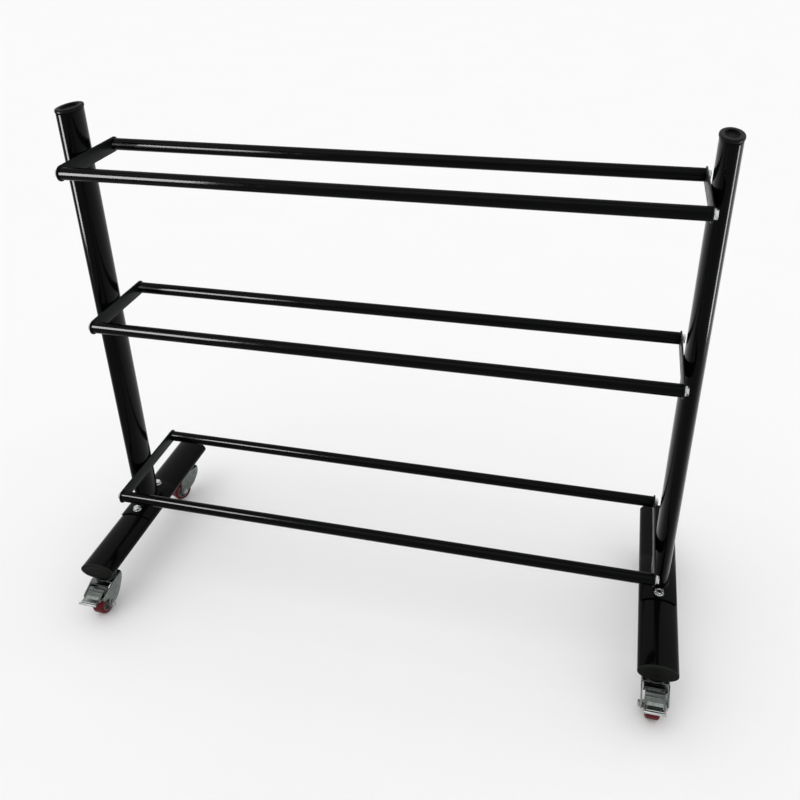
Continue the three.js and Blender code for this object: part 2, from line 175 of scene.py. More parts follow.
def oval(inset, z, steps=OVAL_STEPS):
    """An oval ring, long along Y, moved in from the tube's outline by inset, which may
    differ across the short and the long way."""
    across, along = inset if isinstance(inset, tuple) else (inset, inset)
    turn = 2 * math.pi / steps
    return [((TUBE_SHORT - across) * math.cos(i * turn),
             (TUBE_LONG - along) * math.sin(i * turn), z) for i in range(steps)]


def turned(profile, steps=ROUND_STEPS, closed=False):
    """A turned shape about Z; the profile is [radius, z] and may close on itself."""
    shape = Shape()
    shape.skin([circle(r, z, steps) for r, z in profile], closed=closed)
    return shape


def oval_turned(profile, closed=False):
    """The same for the oval tube's outline; the profile is [inset, z]."""
    shape = Shape()
    shape.skin([oval(inset, z) for inset, z in profile], closed=closed)
    return shape


def fillet(profile, radius, steps=4):
    """Rounds the corners of a flat outline. radius is one number or one per corner."""
    count = len(profile)
    radii = radius if isinstance(radius, (list, tuple)) else [radius] * count
    out = []
    for i, here in enumerate(profile):
        p = Vector(here)
        a = Vector(profile[i - 1]) - p
        b = Vector(profile[(i + 1) % count]) - p
        bend = a.angle(b)
        if radii[i] <= 0 or bend > math.radians(174):
            out.append(tuple(here))
            continue
        reach = min(radii[i] / math.tan(bend / 2), 0.48 * a.length, 0.48 * b.length)
        start, stop = p + a.normalized() * reach, p + b.normalized() * reach
        for k in range(steps + 1):
            t = k / steps
            out.append(tuple(start * (1 - t) ** 2 + p * 2 * t * (1 - t) + stop * t * t))
    return out


def arc(centre, radius, start, stop, steps):
    angles = [math.radians(start + (stop - start) * i / steps) for i in range(steps + 1)]
    return [(centre[0] + radius * math.cos(a), centre[1] + radius * math.sin(a)) for a in angles]


def slab_x(outline, thick, x=0.0):
    """An outline of [y, z] points made into a slab across X."""
    shape = Shape()
    shape.skin([[(x + s * thick / 2, y, z) for y, z in outline] for s in (-1, 1)])
    return shape


def slab_z(outline, low, high):
    """An outline of [x, y] points made into a slab between two heights."""
    shape = Shape()
    shape.skin([[(x, y, z) for x, y in outline] for z in (low, high)])
    return shape


def rounded(mesh, width, segments=2, angle=30):
    """Edges sharper than angle, rounded in the mesh itself."""
    bm = bmesh.new()
    bm.from_mesh(mesh)
    limit = math.radians(angle)
    edges = [e for e in bm.edges if e.is_manifold and e.calc_face_angle(0) > limit]
    bmesh.ops.bevel(bm, geom=edges, offset=width * MM, segments=segments, profile=0.5,
                    affect="EDGES", clamp_overlap=True)
    bm.to_mesh(mesh)
    bm.free()
    return mesh


def boolean(body, others, operation):
    """body with the other meshes joined or cut, as a new mesh."""
    base = bpy.data.objects.new("work", body)
    bpy.context.scene.collection.objects.link(base)
    tools = []
    for other in others:
        tool = bpy.data.objects.new("tool", other)
        bpy.context.scene.collection.objects.link(tool)
        tools.append(tool)
        modifier = base.modifiers.new("step", "BOOLEAN")
        modifier.operation = operation
        modifier.solver = "EXACT"
        modifier.object = tool
    bpy.context.view_layer.update()
    graph = bpy.context.evaluated_depsgraph_get()
    result = bpy.data.meshes.new_from_object(base.evaluated_get(graph))
    for thing in [base, *tools]:
        bpy.data.objects.remove(thing)
    bm = bmesh.new()
    bm.from_mesh(result)
    bmesh.ops.dissolve_limit(bm, angle_limit=math.radians(0.5), verts=bm.verts, edges=bm.edges)
    bm.to_mesh(result)
    bm.free()
    return result


def merged(name, *shapes):
    """Several shapes in one mesh."""
    whole = Shape()
    for shape in shapes:
        start = len(whole.points)
        whole.points.extend(shape.points)
        whole.faces.extend(tuple(i + start for i in face) for face in shape.faces)
    return whole.mesh(name)


def moved(shape, matrix):
    shape.points = [tuple(matrix @ Vector(p)) for p in shape.points]
    return shape


def onto_x(shape, way=1, y=0.0, z=0.0):
    """Lays a shape made along Z along X, or along -X where way is -1, at y, z."""
    return moved(shape, Matrix.Translation((0, y, z)) @ Matrix.Rotation(way * QUARTER, 4, "Y"))


# ---- materials --------------------------------------------------------------------

def material(name, metallic=0.0, specular=0.5):
    """A new material, its node tree and its shader's inputs."""
    made = bpy.data.materials.new(name)
    made.use_nodes = True
    inputs = made.node_tree.nodes["Principled BSDF"].inputs
    inputs["Metallic"].default_value = metallic
    inputs["Specular IOR Level"].default_value = specular
    return made, made.node_tree, inputs


def coordinates(tree, stretch=(1, 1, 1)):
    where = tree.nodes.new("ShaderNodeTexCoord")
    mapping = tree.nodes.new("ShaderNodeMapping")
    mapping.inputs["Scale"].default_value = stretch
    tree.links.new(where.outputs["Object"], mapping.inputs["Vector"])
    return mapping.outputs["Vector"]


def noise(tree, vector, scale, detail=4.0, rough=0.55):
    made = tree.nodes.new("ShaderNodeTexNoise")
    made.inputs["Scale"].default_value = scale
    made.inputs["Detail"].default_value = detail
    made.inputs["Roughness"].default_value = rough
    tree.links.new(vector, made.inputs["Vector"])
    return made.outputs["Fac"]


def spread(tree, value, low, high, source=(0.3, 0.7)):
    """value spread between low and high. source is the part of its range that counts, which
    is 0.3 to 0.7 for a noise."""
    made = tree.nodes.new("ShaderNodeMapRange")
    made.inputs["From Min"].default_value = source[0]
    made.inputs["From Max"].default_value = source[1]
    made.inputs["To Min"].default_value = low
    made.inputs["To Max"].default_value = high
    tree.links.new(value, made.inputs["Value"])
    return made.outputs["Result"]


def blend(tree, factor, a, b):
    """From a to b. Each is a colour or another node's output."""
    made = tree.nodes.new("ShaderNodeMix")
    made.data_type = "RGBA"
    for key, colour in (("A", a), ("B", b)):
        if isinstance(colour, tuple):
            made.inputs[key].default_value = (*colour, 1)
        else:
            tree.links.new(colour, made.inputs[key])
    tree.links.new(factor, made.inputs["Factor"])
    return made.outputs["Result"]


def mottle(tree, vector, low, high, scale, detail=4.0, rough=0.55):
    """Soft clouds between two colours."""
    cloud = noise(tree, vector, scale, detail, rough)
    return blend(tree, spread(tree, cloud, 0.0, 1.0), low, high)


def bump(tree, height, strength, distance, under=None):
    made = tree.nodes.new("ShaderNodeBump")
    made.inputs["Strength"].default_value = strength
    made.inputs["Distance"].default_value = distance
    tree.links.new(height, made.inputs["Height"])
    if under is not None:
        tree.links.new(under, made.inputs["Normal"])
    return made.outputs["Normal"]


def edge_wear_and_highlight_mask(tree):
    """Bright where the surface turns sharply outward: partly edge wear, partly a painted
    highlight along the edges.
    """
    geometry = tree.nodes.new("ShaderNodeNewGeometry")
    return spread(tree, geometry.outputs["Pointiness"], 0.0, 1.0, (0.52, 0.62))


def connect(tree, inputs, colour, roughness, normal):
    tree.links.new(colour, inputs["Base Color"])
    tree.links.new(roughness, inputs["Roughness"])
    tree.links.new(normal, inputs["Normal"])


def gloss_black():
    """Black powder coat: faint orange peel, dust and handling marks."""
    made, tree, inputs = material("gloss_black", specular=0.05)
    vector = coordinates(tree)
    colour = mottle(tree, vector, (0.0007, 0.0008, 0.001), (0.0016, 0.0018, 0.0022),
                    7.0, 6.0, 0.6)
    smears = spread(tree, noise(tree, vector, 24.0, 5.0, 0.65), 0.1, 0.18)
    waves = bump(tree, noise(tree, vector, 60.0, 2.0), 0.03, 0.0006)
    peel = bump(tree, noise(tree, vector, 620.0, 2.0), 0.03, 0.00012, waves)
    connect(tree, inputs, colour, smears, peel)
    return made


def satin_black():
    """Thin satin paint on flat steel bar, slightly grey-green."""
    made, tree, inputs = material("plate_black", specular=0.08)
    vector = coordinates(tree)
    colour = mottle(tree, vector, (0.002, 0.0032, 0.003), (0.004, 0.0056, 0.0052),
                    15.0, 6.0, 0.6)
    roughness = spread(tree, noise(tree, vector, 40.0, 5.0), 0.3, 0.44)
    grain = bump(tree, noise(tree, vector, 900.0, 2.0), 0.1, 0.0001)
    connect(tree, inputs, colour, roughness, grain)
    return made


def cap_plastic(name, low, high, gloss):
    """Dark moulded plastic with a fine spark-eroded grain; its edges are lighter and smoother,
    partly polish and partly a painted highlight.
    """
    made, tree, inputs = material(name, specular=gloss)
    vector = coordinates(tree)
    wear_and_highlight = edge_wear_and_highlight_mask(tree)
    body = mottle(tree, vector, low, high, 30.0, 6.0, 0.6)
    # lighter edges: partly polish, partly painted highlight
    colour = blend(tree, wear_and_highlight, body, (0.03, 0.034, 0.03))
    roughness = tree.nodes.new("ShaderNodeMath")
    roughness.operation = "SUBTRACT"
    tree.links.new(spread(tree, noise(tree, vector, 120.0), 0.34, 0.48), roughness.inputs[0])
    tree.links.new(spread(tree, wear_and_highlight, 0.0, 0.14, (0.0, 1.0)), roughness.inputs[1])
    grain = bump(tree, noise(tree, vector, 1800.0, 3.0, 0.7), 0.25, 0.00012)
    connect(tree, inputs, colour, roughness.outputs["Value"], grain)
    return made


def zinc(name, low, high, worn_and_highlight):
    """Zinc plate on pressed steel: cloudy between two tones, faint streaks, and lighter edges
    that are partly wear and partly a painted highlight.
    """
    made, tree, inputs = material(name, metallic=1.0)
    vector = coordinates(tree)
    body = mottle(tree, vector, low, high, 90.0, 6.0, 0.62)
    # lighter edges: partly wear, partly painted highlight
    colour = blend(tree, edge_wear_and_highlight_mask(tree), body, (worn_and_highlight, worn_and_highlight, worn_and_highlight))
    streaks = noise(tree, coordinates(tree, (60, 700, 700)), 1.0)
    grain = bump(tree, noise(tree, vector, 800.0, 3.0), 0.12, 0.0001)
    connect(tree, inputs, colour, spread(tree, streaks, 0.17, 0.3), grain)
    return made


def bright_steel():
    """Bright plated bolts, with fine turning marks."""
    made, tree, inputs = material("bright_steel", metallic=1.0)
    vector = coordinates(tree)
    colour = mottle(tree, vector, (0.46, 0.47, 0.48), (0.7, 0.71, 0.72), 220.0, 5.0)
    roughness = spread(tree, noise(tree, vector, 500.0), 0.12, 0.28)
    marks = bump(tree, noise(tree, coordinates(tree, (1, 1, 6)), 700.0, 3.0), 0.12, 0.0001)
    connect(tree, inputs, colour, roughness, marks)
    return made


def tyre_red():
    """Dark red polyurethane tread, slightly scuffed."""
    made, tree, inputs = material("tyre", specular=0.14)
    vector = coordinates(tree)
    colour = mottle(tree, vector, (0.07, 0.0014, 0.004), (0.11, 0.003, 0.0075),
                    70.0, 6.0, 0.65)
    scuffs = spread(tree, noise(tree, vector, 260.0), 0.3, 0.5)
    grain = bump(tree, noise(tree, vector, 1200.0, 3.0), 0.15, 0.00015)
    connect(tree, inputs, colour, scuffs, grain)
    return made


def hub_plastic():
    """Grey-brown moulded hub."""
    made, tree, inputs = material("hub_plastic")
    vector = coordinates(tree)
    colour = mottle(tree, vector, (0.07, 0.06, 0.05), (0.12, 0.108, 0.092), 110.0, 5.0)
    roughness = spread(tree, noise(tree, vector, 320.0), 0.38, 0.55)
    grain = bump(tree, noise(tree, vector, 1500.0, 3.0), 0.2, 0.0001)
    connect(tree, inputs, colour, roughness, grain)
    return made


# The finish that each slot of the CAD stands for, and finer ones for some pieces.
FINISH = {
    "gloss_black": gloss_black(),
    "plate_black": satin_black(),
    "cap_plastic": cap_plastic("cap_plastic", (0.0012, 0.0014, 0.0012),
                               (0.0028, 0.0032, 0.0027), 0.03),
    "zinc": zinc("zinc", (0.1, 0.118, 0.108), (0.22, 0.245, 0.228), 0.36),
    "bright_steel": bright_steel(),
    "tyre": tyre_red(),
}
HUB_FINISH = hub_plastic()
# Near-black plastic for the sheet in an upright cap's recess: painted shade.
WELL_SHADE_FINISH = cap_plastic("cap_shade_well", (0.0006, 0.0007, 0.0006), (0.0014, 0.0015, 0.0013), 0.01)
# Dark zinc that paints the shade under the foot, on the stem and on the strip behind a pedal.
STEM_SHADE_FINISH = zinc("stem_zinc_painted_shade", (0.018, 0.021, 0.02), (0.045, 0.05, 0.048), 0.16)
PEDAL_FINISH = zinc("pedal_zinc", (0.06, 0.07, 0.065), (0.13, 0.145, 0.135), 0.3)
# Brighter zinc for the pedal's pad and lip: partly rubbed bright, partly painted highlight.
TRIM_WEAR_AND_HIGHLIGHT_FINISH = zinc("trim_zinc_wear_and_highlight", (0.16, 0.185, 0.17), (0.32, 0.35, 0.33), 0.9)
AXLE_FINISH = zinc("axle_zinc", (0.16, 0.18, 0.17), (0.3, 0.32, 0.31), 0.6)
END_CAP_FINISH = cap_plastic("end_cap_plastic", (0.003, 0.0037, 0.0028),
                             (0.006, 0.007, 0.0054), 0.07)


def piece(mesh, node, body, slot, at, turn=(0, 0, 0), suffix="look", finish=None):
    """Places a mesh, hides the CAD node it stands for, and rides it on a body."""
    obj = bpy.data.objects.new(f"{node}_{suffix}", mesh)
    bpy.context.scene.collection.objects.link(obj)
    if not mesh.materials:
        mesh.materials.append(finish or FINISH[slot])
    obj.location = at
    obj.rotation_euler = turn
    bpy.context.view_layer.update()
    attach(obj, body)
    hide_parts(node)
    return obj


def middle(node):
    """Centre of a node's box."""
    low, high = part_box(node)
    return (Vector(low) + Vector(high)) / 2


# ---- frame pieces -----------------------------------------------------------------

def foot_mesh(length):
    """Oval tube about its centre, lying along Y, with slightly eased ends."""
    half = length / 2
    wall = TUBE_WALL
    profile = [(wall, -half + 0.3), (wall - 0.3, -half), (0.4, -half), (0.0, -half + 0.4),
               (0.0, half - 0.4), (0.4, half), (wall - 0.3, half), (wall, half - 0.3)]
    # stands the tube's length along Y and its width along X
    lay = Matrix(((0, 1, 0), (0, 0, 1), (1, 0, 0)))
    return smoothed(moved(oval_turned(profile, closed=True), lay).mesh("foot"))


def saddle_mesh():
    """Bent plate over the foot, about the foot's centre."""
    steps = 72

    def face(rise):
        rx, rz = TUBE_LONG + rise, TUBE_SHORT + rise
        low = math.asin(SADDLE_DROP / rz)
        angles = [low + (math.pi - 2 * low) * i / steps for i in range(steps + 1)]
        return [(rx * math.cos(a), rz * math.sin(a)) for a in angles]

    section = face(SADDLE_GAP + SADDLE_THICK) + face(SADDLE_GAP)[::-1]
    shape = Shape()
    half = SADDLE_HALF_LENGTH
    shape.skin([[(x, y, z) for x, z in section] for y in (-half, half)])
    return smoothed(rounded(shape.mesh("saddle"), 0.9, 3, 50), 40)


def cope_z(x, rise):
    """Height, from the floor, of an oval laid over the foot, at x from its centre."""
    rx, rz = TUBE_LONG + rise, TUBE_SHORT + rise
    return FOOT_Z + rz * math.sqrt(max(0.0, 1 - (x / rx) ** 2))


def foot_bead_shape():
    """Rippled weld bead in the corner between an upright and its saddle."""
    steps, ripples, around = 180, 40, 8
    rings = []
    for i, (x, y, _) in enumerate(oval(-0.2, 0, steps)):
        out = Vector((x / TUBE_SHORT ** 2, y / TUBE_LONG ** 2, 0)).normalized()
        size = 1.9 + 0.28 * math.sin(i * 2 * math.pi * ripples / steps)
        centre = Vector((x, y, cope_z(x, SADDLE_GAP + SADDLE_THICK) + 0.7))
        rings.append([centre + out * (size * math.cos(a)) + Vector((0, 0, size * math.sin(a)))
                      for a in (2 * math.pi * k / around for k in range(around))])
    bead = Shape()
    bead.skin(rings, closed=True)
    return bead


def upright_mesh(top):
    """Oval upright from the saddle to its cap, with the weld bead at its foot. The rings
    just inside its ends keep the shading of its long faces straight."""
    rise = 2 * SADDLE_GAP + SADDLE_THICK

    def foot_ring(inset, lift):
        return [(x, y, cope_z(x, rise) + lift) for x, y, _ in oval(inset, 0)]

    shape = Shape()
    shape.skin([foot_ring(TUBE_WALL, 0.0), foot_ring(0.0, 0.0), foot_ring(0.0, 6.0),
                oval(0.0, top - 4.0), oval(0.0, top - 0.4), oval(0.4, top),
                oval(TUBE_WALL, top)], closed=True)
    return smoothed(merged("upright", shape, foot_bead_shape()), 50)


def upright_cap_mesh():
    """Moulded cap about the underside of its flange: eased rim, deep recess, skirt."""
    top, out, floor = CAP_FLANGE, -CAP_OVERHANG, CAP_FLANGE - CAP_RECESS
    profile = [(4.3, -14.5), (2.3, -14.5), (2.3, 0.0), (0.4, 0.0), (out + 0.3, 0.2), (out, 0.9),
               (out, top - 2.4), (out + 0.3, top - 1.3), (out + 1.0, top - 0.5),
               ((out + 2.2, out + 2.4), top), ((5.8, 10.2), top - 0.05),
               ((7.0, 11.8), top - 0.35), ((7.8, 12.7), top - 1.2), ((8.1, 13.1), floor + 0.6),
               ((8.8, 13.9), floor + 0.05), ((12.5, 20.0), floor)]
    return smoothed(oval_turned(profile).mesh("upright_cap"), 40)


def shade_well_mesh():
    """Dark sheet on the floor of an upright cap's recess, about the cap's flange, that paints
    the shade in the recess.
    """
    floor = CAP_FLANGE - CAP_RECESS
    profile = [((9.2, 14.4), floor + 0.02), ((9.2, 14.4), floor + 0.3),
               ((9.6, 14.9), floor + 0.5), ((12.0, 20.0), floor + 0.35)]
    return smoothed(oval_turned(profile).mesh("cap_shade_well"), 40)


def foot_cap_mesh():
    """Moulded end cap about the inner face of its flange, facing +Z before it is turned."""
    top = FOOT_CAP_FLANGE
    profile = [(4.3, -13.5), (2.3, -13.5), (2.3, 0.0), (0.3, 0.0), (0.0, 0.3), (0.0, top - 1.8),
               (0.3, top - 0.9), (1.0, top - 0.25), (2.2, top), ((6.8, 11.4), top - 0.02),
               ((7.6, 12.5), top - 0.2), ((8.1, 13.1), top - 0.7), ((8.8, 14.0), top - 0.78),
               ((15.0, 26.0), top - 0.8)]
    return smoothed(oval_turned(profile).mesh("foot_cap"), 40)


def hex_points(radius, z, per_side=6):
    """A hexagon with corners towards +Y and -Y, with points along each side."""
    corners = [(radius * math.sin(k * math.pi / 3), -radius * math.cos(k * math.pi / 3))
               for k in range(6)]
    out = []
    for k in range(6):
        a, b = corners[k], corners[(k + 1) % 6]
        for i in range(per_side):
            t = i / per_side
            out.append((a[0] + (b[0] - a[0]) * t, a[1] + (b[1] - a[1]) * t, z))
    return out


def hex_head(radius, low, high, dish=0.0):
    """Hexagon with its corners chamfered at the top, and an optional shallow dish."""
    slope = math.tan(math.radians(32))
    flat = radius * math.cos(math.pi / 6) * 0.96
    corners = [(x, y, math.hypot(x, y)) for x, y, _ in hex_points(radius, 0)]

    def around(scale, z):
        return [(scale * flat * x / reach, scale * flat * y / reach, z)
                for x, y, reach in corners]

    chamfer = [(x, y, high - max(0.0, reach - flat) * slope) for x, y, reach in corners]
    rings = [hex_points(radius * 0.985, low), hex_points(radius, low + 0.25), chamfer,
             around(1.0, high)]
    if dish:
        rings += [around(0.72, high), around(0.62, high - dish)]
    shape = Shape()
    shape.skin(rings)
    return shape


def washer(inner, outer, low, high):
    """Flat ring between two heights, with its outer edges eased."""
    ease = min(0.35, (high - low) / 3)
    return turned([(inner, low), (outer - ease, low), (outer, low + ease),
                   (outer, high - ease), (outer - ease, high), (inner, high)], 48, closed=True)


def bolt_mesh(length):
    """Hex bolt on a flat and a spring washer, along -Z from the washer's underside."""
    shank, hole = BOLT_RADIUS, BOLT_RADIUS + 0.2
    flat = washer(hole, BOLT_WASHER, 0.0, 1.2)
    spring = washer(hole, BOLT_WASHER - 1.4, 1.2, 2.1)
    head = hex_head(BOLT_HEAD, 2.0, 7.0, dish=0.5)
    rod = turned([(0.5, -length), (shank - 0.8, -length), (shank, -length + 0.8), (shank, 2.2),
                  (0.5, 2.2)], 32)
    return smoothed(merged("bolt", flat, spring, head, rod), 28)


def rail_mesh(length):
    """Round rail along Z about its centre, with eased ends."""
    half = length / 2
    r = RAIL_RADIUS
    profile = [(RAIL_BORE, -half), (r - 0.4, -half), (r, -half + 0.4), (r, -half + 30),
               (r, half - 30), (r, half - 0.4), (r - 0.4, half), (RAIL_BORE, half)]
    return smoothed(turned(profile, closed=True).mesh("rail"))


def end_plate_mesh(spacing):
    """Flat bar with round ends about its centre."""
    half = spacing / 2
    outline = arc((half, 0), PLATE_HALF_HEIGHT, -90, 90, 24)
    outline += arc((-half, 0), PLATE_HALF_HEIGHT, 90, 270, 24)
    plate = rounded(slab_x(outline, PLATE_THICK).mesh("plate"), 0.45, 2, 40)
    return smoothed(plate, 40)


def weld_mesh(away):
    """Pair of short weld beads between an end plate, about its centre, and its upright."""
    steps, around = 36, 8
    beads = []
    for side in (-1, 1):
        rings = []
        for i in range(steps + 1):
            z = (2 * i / steps - 1) * (PLATE_HALF_HEIGHT - 1.2)
            size = 0.95 + 0.2 * math.sin(i * 2.2)
            if i in (0, steps):
                size *= 0.3
            rings.append([(away * (PLATE_THICK / 2 + 0.45 + size * 0.5 * math.sin(a)),
                           side * 6.4 + size * 1.5 * math.cos(a), z)
                          for a in (2 * math.pi * k / around for k in range(around))])
        bead = Shape()
        bead.skin(rings)
        beads.append(bead)
    return smoothed(merged("weld", *beads), 60)


def build_frame():
    """Feet, saddles, uprights and their caps and bolts."""
    low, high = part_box("left_foot")
    foot = foot_mesh((high[1] - low[1]) / MM)
    saddle = saddle_mesh()
    upright = upright_mesh(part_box("left_upright")[1][2] / MM)
    top_cap, shade_well, end_cap = upright_cap_mesh(), shade_well_mesh(), foot_cap_mesh()
    bolt = bolt_mesh(SADDLE_BOLT_LENGTH)
    depth = middle("left_upright")[1]
    for side in SIDES:
        foot_at = middle(f"{side}_foot")
        piece(foot, f"{side}_foot", BODY, "gloss_black", foot_at)
        piece(saddle, f"{side}_saddle", BODY, "gloss_black", foot_at)
        piece(upright, f"{side}_upright", BODY, "gloss_black", (foot_at[0], depth, 0))
        node = f"{side}_upright_cap"
        at = (foot_at[0], depth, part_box(node)[1][2] - CAP_FLANGE * MM)
        piece(top_cap, node, BODY, "cap_plastic", at)
        # the dark sheet in the recess is painted shade
        piece(shade_well, node, BODY, "cap_plastic", at, suffix="shade_well", finish=WELL_SHADE_FINISH)
        for end, way in ENDS.items():
            node = f"{side}_foot_{end}_cap"
            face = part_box(node)[0 if way < 0 else 1][1]
            turn = Matrix.Rotation(-way * QUARTER, 4, "X") @ Matrix.Rotation(QUARTER, 4, "Z")
            at = (foot_at[0], face - way * FOOT_CAP_FLANGE * MM, foot_at[2])
            piece(end_cap, node, BODY, "cap_plastic", at, turn.to_euler(),
                  finish=END_CAP_FINISH)
            node = f"{side}_saddle_{end}_bolt"
            at = middle(node)
            at[2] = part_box(node)[0][2] + SADDLE_BOLT_LENGTH * MM
            piece(bolt, node, BODY, "bright_steel", at)


def build_shelves():
    """End plates, rails and their bolts, tier by tier."""
    low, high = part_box("top_front_rail")
    rail = rail_mesh((high[0] - low[0]) / MM)
    bolt = bolt_mesh(RAIL_BOLT_LENGTH)
    welds = {side: weld_mesh(way) for side, way in SIDES.items()}
    for tier in TIERS:
        low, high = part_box(f"{tier}_shelf_left_plate")
        plate = end_plate_mesh((high[1] - low[1]) / MM - 2 * PLATE_HALF_HEIGHT)
        for side, way in SIDES.items():
            node = f"{tier}_shelf_{side}_plate"
            piece(plate, node, BODY, "plate_black", middle(node))
            piece(welds[side], node, BODY, "gloss_black", middle(node), suffix="weld")
            for end in ENDS:
                node = f"{tier}_{end}_rail_{side}_bolt"
                at = middle(node)
                at[0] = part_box(node)[0 if way > 0 else 1][0] + way * RAIL_BOLT_LENGTH * MM
                piece(bolt, node, BODY, "bright_steel", at, (0, way * QUARTER, 0))
        for end in ENDS:
            node = f"{tier}_{end}_rail"
            piece(rail, node, BODY, "gloss_black", middle(node), (0, QUARTER, 0))


# ---- casters ----------------------------------------------------------------------

def stem_mesh(kind):
    """Stem, collar, race cover and king pin, turned about the swivel axis."""
    race = kind["race"]
    profile = [(0.6, 73.0), (7.6, 73.0), (8.7, 73.5), (9.0, 74.3), (9.0, 76.7), (6.0, 76.7),
               (6.0, 80.3), (race - 0.8, 80.3), (race - 0.2, 80.6), (race, 81.1),
               (race, 82.3), (race - 0.3, 83.1), (race - 1.4, 84.0), (race - 4.0, 84.8),
               (14.5, 86.0), (12.5, 87.0), (11.2, 88.2), (10.5, 89.2), (10.5, 91.4),
               (10.1, 91.8), (10.1, 92.3), (10.5, 92.7), (10.5, 95.1), (10.0, 95.7),
               (5.0, 95.7), (5.0, 106.4), (4.4, 107.0), (0.6, 107.0)]
    return smoothed(turned(profile, ROUND_STEPS).mesh("stem"), 34)


def leg_outer(kind, z):
    """Outer face of a fork's leg at a height."""
    return kind["leg"] + LEG_THICK + LEG_LEAN * (z - WHEEL_RADIUS)


def leg_outline(kind):
    """Fork leg beside the wheel, [y, z, corner radius] about the swivel axis."""
    if kind["brake"]:
        front = [(-39.5, 51, 5), (-57, 56.8, 3), (-61.4, 60.5, 4.5), (-58.6, 66.4, 4)]
    else:
        front = [(-41, 40, 8), (-38, 54, 6), (-29, 68, 6)]
    corners = [(20, CROWN_TOP - 1.5, 1), (20.5, 70, 6), (17.5, 59, 8), (11.5, 49, 8),
               (4, 37, 8), (-10, 26.5, 8), (-21.6, 22.5, 7), (-27.5, 16.6, 6),
               (-35, 16.6, 6), (-41.6, 24, 8), *front, (CROWN_FRONT, CROWN_TOP - 1.5, 1)]
    return fillet([c[:2] for c in corners], [c[2] for c in corners], 5)


def crown_ring(kind, inset, z):
    """The crown's outline from above, square in front and round-cornered behind."""
    half = leg_outer(kind, CROWN_TOP) - inset
    rear, radius = CROWN_REAR - inset, CROWN_CORNER - inset
    front = CROWN_FRONT + min(inset, 1.0)
    plan = [(-half, front), (half, front)]
    plan += arc((half - radius, rear - radius), radius, 0, 90, 14)
    plan += arc((radius - half, rear - radius), radius, 90, 180, 14)
    return [(x, y, z) for x, y in plan]


def fork_leg(kind, side):
    """One leg, leaning outwards as it rises."""
    slab = slab_x(leg_outline(kind), LEG_THICK, side * (kind["leg"] + LEG_THICK / 2))
    slab.points = [(x + side * LEG_LEAN * (z - WHEEL_RADIUS), y, z) for x, y, z in slab.points]
    return slab.mesh("leg")


def pin_hole(radius, y, z):
    """A long rod along X, for cutting a pin's holes."""
    return onto_x(turned([(radius, -40), (radius, 40)], 32), y=y, z=z).mesh("hole")


def fork_mesh(kind):
    """Pressed fork: domed crown, turned-down rear edge, two legs."""
    shell = Shape()
    levels = [(LEG_THICK, CROWN_Z), (LEG_THICK, SKIRT_FOOT), (0.0, SKIRT_FOOT),
              (0.0, CROWN_TOP - 2.6), (0.25, CROWN_TOP - 1.5), (0.9, CROWN_TOP - 0.6),
              (1.9, CROWN_TOP - 0.1), (3.2, CROWN_TOP)]
    shell.skin([crown_ring(kind, inset, z) for inset, z in levels])
    span = 60
    open_front = slab_z([(-span, -span), (span, -span), (span, SKIRT_FROM_Y),
                         (-span, SKIRT_FROM_Y)], SKIRT_FOOT - 5, CROWN_Z).mesh("front")
    crown = boolean(shell.mesh("crown"), [open_front], "DIFFERENCE")
    whole = boolean(crown, [fork_leg(kind, -1), fork_leg(kind, 1)], "UNION")
    pin = turned([(6.4, CROWN_Z - 4), (6.4, CROWN_TOP + 4)], 40).mesh("hole")
    tools = [pin, pin_hole(AXLE_RADIUS + 0.4, -TRAIL, WHEEL_RADIUS)]
    if kind["brake"]:
        tools.append(pin_hole(2.9, *PEDAL_PIVOT))
    whole = boolean(whole, tools, "DIFFERENCE")
    return smoothed(rounded(whole, 0.6, 3, 38), 40)


def tongue_mesh():
    """Strip in front of a braked fork's crown, its front edge turned down."""
    half, front = TONGUE
    top = CROWN_TOP - 0.4
    section = [(CROWN_FRONT - 0.2, CROWN_Z), (CROWN_FRONT - 0.2, top), (front + 0.6, top),
               (front, top - 0.8), (front, SKIRT_FOOT), (front + 1.6, SKIRT_FOOT),
               (front + 1.6, CROWN_Z - 0.6), (front + 2.4, CROWN_Z)]
    strip = slab_x(fillet(section, 0.5, 3), 2 * half)
    return smoothed(rounded(strip.mesh("tongue"), 0.3, 2, 50), 40)


def tyre_mesh():
    """Tread about the wheel's centre with X as axle: low crown, rounded shoulders."""
    half, rim, r = TREAD_HALF, RIM_RADIUS, WHEEL_RADIUS
    side = [(rim, half - 3.0), (rim + 0.3, half - 0.3), (rim + 1.0, half), (r - 3.6, half),
            (r - 1.9, half - 0.8), (r - 0.7, half - 2.4), (r - 0.2, half - 4.4),
            (r, half - 7.5)]
    ring = side + [(radius, -x) for radius, x in reversed(side)]
    return smoothed(onto_x(turned(ring, 96, closed=True)).mesh("tyre"), 40)


def hub_mesh(kind):
    """Hub inside the tread: flush rim ring, dished web with ribs, bearing bosses."""
    half, rim, end = TREAD_HALF, RIM_RADIUS, kind["hub"]
    side = [(4.4, end), (5.0, end), (7.6, end), (8.0, end - 0.5),
            (8.2, half - 1.5), (9.2, half - 6.2), (10.2, half - 7.0), (15.6, half - 7.0),
            (16.6, half - 6.4), (17.4, half - 1.2), (17.9, half - 0.6), (rim - 0.7, half - 0.6),
            (rim - 0.2, half - 1.2), (rim - 0.1, half - 3.0)]
    ring = side + [(radius, -x) for radius, x in reversed(side)]
    parts = [turned(ring, 96, closed=True)]
    outline = fillet([(8.2, -1.1), (17.4, -0.9), (17.4, 0.9), (8.2, 1.1)], 0.2, 2)
    ribs = 5
    for k in range(ribs):
        rib = slab_z(outline, 2.6 - half, half - 2.6)
        parts.append(moved(rib, Matrix.Rotation(k * 2 * math.pi / ribs, 3, "Z")))
    return smoothed(merged("hub", *(onto_x(part) for part in parts)), 34)


